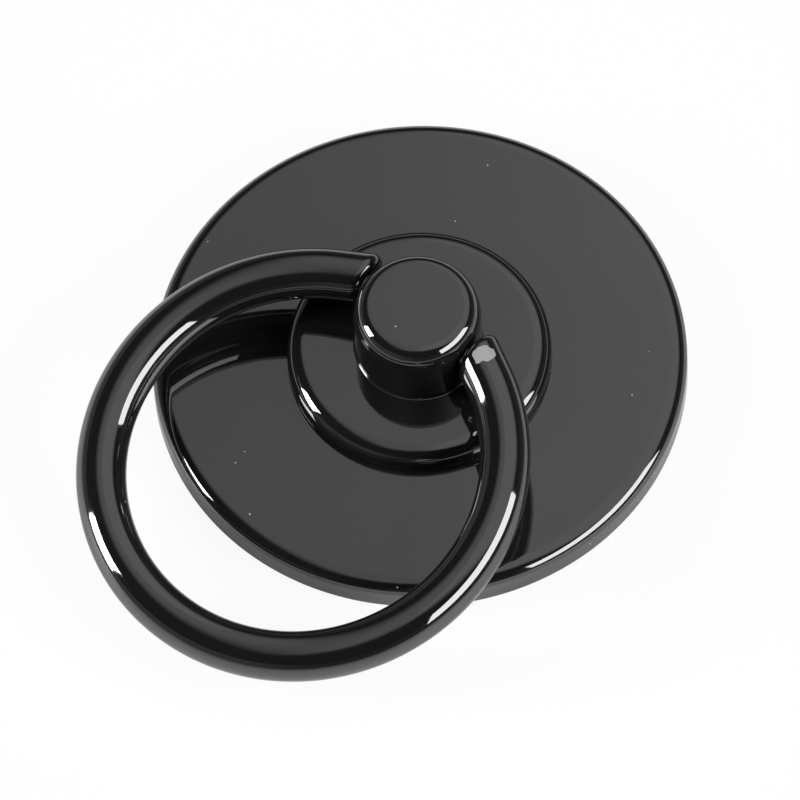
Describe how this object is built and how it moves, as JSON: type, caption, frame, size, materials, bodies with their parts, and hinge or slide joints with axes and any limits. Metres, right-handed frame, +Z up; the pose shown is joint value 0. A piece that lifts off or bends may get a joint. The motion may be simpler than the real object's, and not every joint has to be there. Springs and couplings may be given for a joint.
{
  "type": "phone ring holder",
  "caption": "Stick-on phone grip: a round base plate carries a raised disc and post that swivel, and a finger ring hinged on the post flips from side to side as a grip or stand.",
  "frame": {"origin": "centre of the adhesive face, on the surface that the holder is stuck to", "axes": "+Z up out of that surface along the swivel axis, X along the ring's pivot pin, and the ring points to -Y"},
  "size_m": [0.036, 0.0455, 0.01],
  "materials": {
    "black_lacquer": "deep gloss black",
    "foam_tape": "matt black foam tape",
    "steel": "plain steel",
    "nylon": "natural nylon"
  },
  "bodies": {
    "base": {"adhesive_pad": "foam_tape", "base_plate": "black_lacquer", "swivel_bearing": "nylon", "spring_washer": "steel"},
    "swivel": {"swivel_disc": "black_lacquer", "swivel_post": "black_lacquer", "thrust_washer": "steel", "retaining_screw": "steel", "pivot_bush_left": "nylon", "pivot_bush_right": "nylon"},
    "ring": {"finger_ring": "black_lacquer", "pivot_pin": "steel"}
  },
  "joints": [
    {"name": "post_swivel", "type": "hinge", "parent": "base", "child": "swivel", "pos_m": [0, 0, 0.0047], "axis": [0, 0, 1], "continuous": true},
    {"name": "ring_flip", "type": "hinge", "parent": "swivel", "child": "ring", "pos_m": [0, 0, 0.00755], "axis": [-1, 0, 0], "range_deg": [-2.5, 203]}
  ]
}
